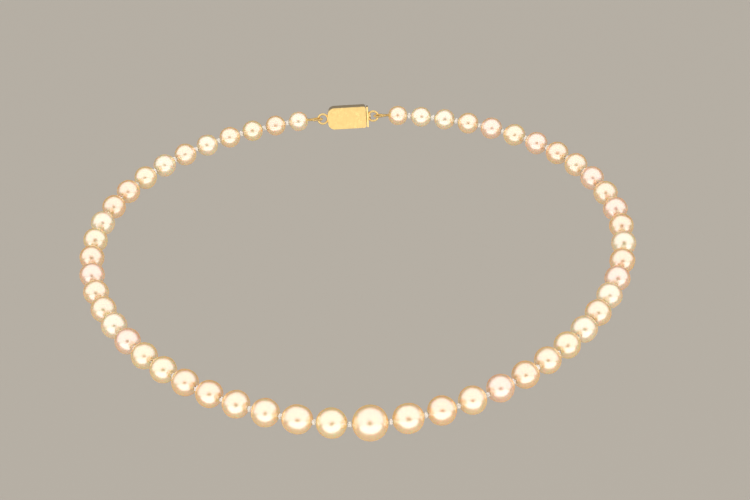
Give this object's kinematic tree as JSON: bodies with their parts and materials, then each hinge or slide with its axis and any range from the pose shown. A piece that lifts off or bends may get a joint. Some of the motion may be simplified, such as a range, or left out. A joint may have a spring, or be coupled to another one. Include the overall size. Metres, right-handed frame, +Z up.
{
  "type": "pearl necklace",
  "caption": "Graduated, individually knotted strand of round pearls, worn round the neck and closed at the nape by a push-in box clasp.",
  "frame": {"origin": "middle of the neck opening, halfway from the front to the nape and halfway up the strand's rise", "axes": "+Z up along the neck as worn, -Y to the front with the large centre pearl, +Y to the nape with the clasp, +X to the right as seen from the front"},
  "size_m": [0.1378, 0.1203, 0.0572],
  "materials": {
    "pearl": "polished nacre, cream with gold and pink overtones",
    "silk": "twisted silk thread, off-white",
    "gold": "polished yellow gold"
  },
  "bodies": {
    "front": {"front_silk": "silk"},
    "centre": {"centre_pearl": "pearl"},
    "left_1": {"left_pearls_1": "pearl", "left_silk_1": "silk"},
    "left_2": {"left_pearls_2": "pearl", "left_silk_2": "silk"},
    "left_3": {"left_pearls_3": "pearl", "left_silk_3": "silk"},
    "left_4": {"left_pearls_4": "pearl", "left_silk_4": "silk"},
    "left_5": {"left_pearls_5": "pearl", "left_silk_5": "silk"},
    "left_6": {"left_pearls_6": "pearl", "left_silk_6": "silk"},
    "left_7": {"left_pearls_7": "pearl", "left_silk_7": "silk"},
    "left_8": {"left_pearls_8": "pearl", "left_silk_8": "silk"},
    "left_9": {"left_pearls_9": "pearl", "left_silk_9": "silk"},
    "left_10": {"left_pearls_10": "pearl", "left_silk_10": "silk"},
    "left_11": {"left_pearls_11": "pearl", "left_silk_11": "silk"},
    "left_12": {"left_pearls_12": "pearl", "left_silk_12": "silk", "left_wire_sleeve": "gold"},
    "right_1": {"right_pearls_1": "pearl", "right_silk_1": "silk"},
    "right_2": {"right_pearls_2": "pearl", "right_silk_2": "silk"},
    "right_3": {"right_pearls_3": "pearl", "right_silk_3": "silk"},
    "right_4": {"right_pearls_4": "pearl", "right_silk_4": "silk"},
    "right_5": {"right_pearls_5": "pearl", "right_silk_5": "silk"},
    "right_6": {"right_pearls_6": "pearl", "right_silk_6": "silk"},
    "right_7": {"right_pearls_7": "pearl", "right_silk_7": "silk"},
    "right_8": {"right_pearls_8": "pearl", "right_silk_8": "silk"},
    "right_9": {"right_pearls_9": "pearl", "right_silk_9": "silk"},
    "right_10": {"right_pearls_10": "pearl", "right_silk_10": "silk"},
    "right_11": {"right_pearls_11": "pearl", "right_silk_11": "silk"},
    "right_12": {"right_pearls_12": "pearl", "right_silk_12": "silk", "right_wire_sleeve": "gold"},
    "box_half": {"clasp_box": "gold", "clasp_back_plate": "gold", "box_end_ring": "gold"},
    "tongue_half": {"clasp_tongue": "gold", "tongue_end_plate": "gold", "tongue_end_ring": "gold"},
    "catch": {"catch_leaf": "gold", "thumb_piece": "gold"}
  },
  "joints": [
    {"name": "centre_pearl_spin", "type": "hinge", "parent": "front", "child": "centre", "pos_m": [0, -0.05673, -0.02517], "axis": [1, 0, 0], "continuous": true},
    {"name": "left_swing", "type": "hinge", "parent": "front", "child": "left_1", "pos_m": [-0.00477, -0.05673, -0.02517], "axis": [0, 0, 1], "range_deg": [0, 30]},
    {"name": "right_swing", "type": "hinge", "parent": "front", "child": "right_1", "pos_m": [0.00477, -0.05673, -0.02517], "axis": [0, 0, -1], "range_deg": [0, 30]},
    {"name": "fold_left_1", "type": "hinge", "parent": "left_1", "child": "left_2", "pos_m": [-0.02052, -0.05299, -0.0234], "axis": [1, 0, 0], "range_deg": [-35, 35]},
    {"name": "fold_right_1", "type": "hinge", "parent": "right_1", "child": "right_2", "pos_m": [0.02052, -0.05299, -0.0234], "axis": [1, 0, 0], "range_deg": [-35, 35]},
    {"name": "fold_left_2", "type": "hinge", "parent": "left_2", "child": "left_3", "pos_m": [-0.03401, -0.04584, -0.02046], "axis": [-1, 0, 0], "range_deg": [-35, 35]},
    {"name": "fold_right_2", "type": "hinge", "parent": "right_2", "child": "right_3", "pos_m": [0.03401, -0.04584, -0.02046], "axis": [-1, 0, 0], "range_deg": [-35, 35]},
    {"name": "fold_left_3", "type": "hinge", "parent": "left_3", "child": "left_4", "pos_m": [-0.04536, -0.03638, -0.01673], "axis": [1, 0, 0], "range_deg": [-35, 35]},
    {"name": "fold_right_3", "type": "hinge", "parent": "right_3", "child": "right_4", "pos_m": [0.04536, -0.03638, -0.01673], "axis": [1, 0, 0], "range_deg": [-35, 35]},
    {"name": "fold_left_4", "type": "hinge", "parent": "left_4", "child": "left_5", "pos_m": [-0.05453, -0.0253, -0.01235], "axis": [-1, 0, 0], "range_deg": [-35, 35]},
    {"name": "fold_right_4", "type": "hinge", "parent": "right_4", "child": "right_5", "pos_m": [0.05453, -0.0253, -0.01235], "axis": [-1, 0, 0], "range_deg": [-35, 35]},
    {"name": "fold_left_5", "type": "hinge", "parent": "left_5", "child": "left_6", "pos_m": [-0.0613, -0.01305, -0.00739], "axis": [1, 0, 0], "range_deg": [-35, 35]},
    {"name": "fold_right_5", "type": "hinge", "parent": "right_5", "child": "right_6", "pos_m": [0.0613, -0.01305, -0.00739], "axis": [1, 0, 0], "range_deg": [-35, 35]},
    {"name": "fold_left_6", "type": "hinge", "parent": "left_6", "child": "left_7", "pos_m": [-0.06522, -0.00002, -0.0019], "axis": [-1, 0, 0], "range_deg": [-35, 35]},
    {"name": "fold_right_6", "type": "hinge", "parent": "right_6", "child": "right_7", "pos_m": [0.06522, -0.00002, -0.0019], "axis": [-1, 0, 0], "range_deg": [-35, 35]},
    {"name": "fold_left_7", "type": "hinge", "parent": "left_7", "child": "left_8", "pos_m": [-0.06565, 0.01317, 0.00391], "axis": [1, 0, 0], "range_deg": [-35, 35]},
    {"name": "fold_right_7", "type": "hinge", "parent": "right_7", "child": "right_8", "pos_m": [0.06565, 0.01317, 0.00391], "axis": [1, 0, 0], "range_deg": [-35, 35]},
    {"name": "fold_left_8", "type": "hinge", "parent": "left_8", "child": "left_9", "pos_m": [-0.06217, 0.02563, 0.00966], "axis": [-1, 0, 0], "range_deg": [-35, 35]},
    {"name": "fold_right_8", "type": "hinge", "parent": "right_8", "child": "right_9", "pos_m": [0.06217, 0.02563, 0.00966], "axis": [-1, 0, 0], "range_deg": [-35, 35]},
    {"name": "fold_left_9", "type": "hinge", "parent": "left_9", "child": "left_10", "pos_m": [-0.05503, 0.03633, 0.01481], "axis": [1, 0, 0], "range_deg": [-35, 35]},
    {"name": "fold_right_9", "type": "hinge", "parent": "right_9", "child": "right_10", "pos_m": [0.05503, 0.03633, 0.01481], "axis": [1, 0, 0], "range_deg": [-35, 35]},
    {"name": "fold_left_10", "type": "hinge", "parent": "left_10", "child": "left_11", "pos_m": [-0.04522, 0.04466, 0.01896], "axis": [-1, 0, 0], "range_deg": [-35, 35]},
    {"name": "fold_right_10", "type": "hinge", "parent": "right_10", "child": "right_11", "pos_m": [0.04522, 0.04466, 0.01896], "axis": [-1, 0, 0], "range_deg": [-35, 35]},
    {"name": "fold_left_11", "type": "hinge", "parent": "left_11", "child": "left_12", "pos_m": [-0.02797, 0.05275, 0.02311], "axis": [1, 0, 0], "range_deg": [-35, 35]},
    {"name": "fold_right_11", "type": "hinge", "parent": "right_11", "child": "right_12", "pos_m": [0.02797, 0.05275, 0.02311], "axis": [1, 0, 0], "range_deg": [-35, 35]},
    {"name": "clasp_turn_left", "type": "hinge", "parent": "left_12", "child": "box_half", "pos_m": [-0.01047, 0.05638, 0.02501], "axis": [1, 0, 0], "range_deg": [-40, 40]},
    {"name": "clasp_turn_right", "type": "hinge", "parent": "right_12", "child": "tongue_half", "pos_m": [0.01047, 0.05638, 0.02501], "axis": [1, 0, 0], "range_deg": [-40, 40]},
    {"name": "catch_press", "type": "hinge", "parent": "tongue_half", "child": "catch", "pos_m": [-0.0024, 0.05663, 0.02501], "axis": [0, 0, -1], "range_deg": [0, 5.5], "stiffness_Nm_per_rad": 0.2}
  ],
  "couplings": [
    {"joint": "fold_right_1", "follows": "fold_left_1", "ratio": 1},
    {"joint": "fold_right_2", "follows": "fold_left_2", "ratio": 1},
    {"joint": "fold_right_3", "follows": "fold_left_3", "ratio": 1},
    {"joint": "fold_right_4", "follows": "fold_left_4", "ratio": 1},
    {"joint": "fold_right_5", "follows": "fold_left_5", "ratio": 1},
    {"joint": "fold_right_6", "follows": "fold_left_6", "ratio": 1},
    {"joint": "fold_right_7", "follows": "fold_left_7", "ratio": 1},
    {"joint": "fold_right_8", "follows": "fold_left_8", "ratio": 1},
    {"joint": "fold_right_9", "follows": "fold_left_9", "ratio": 1},
    {"joint": "fold_right_10", "follows": "fold_left_10", "ratio": 1},
    {"joint": "fold_right_11", "follows": "fold_left_11", "ratio": 1},
    {"joint": "clasp_turn_right", "follows": "clasp_turn_left", "ratio": 1}
  ]
}
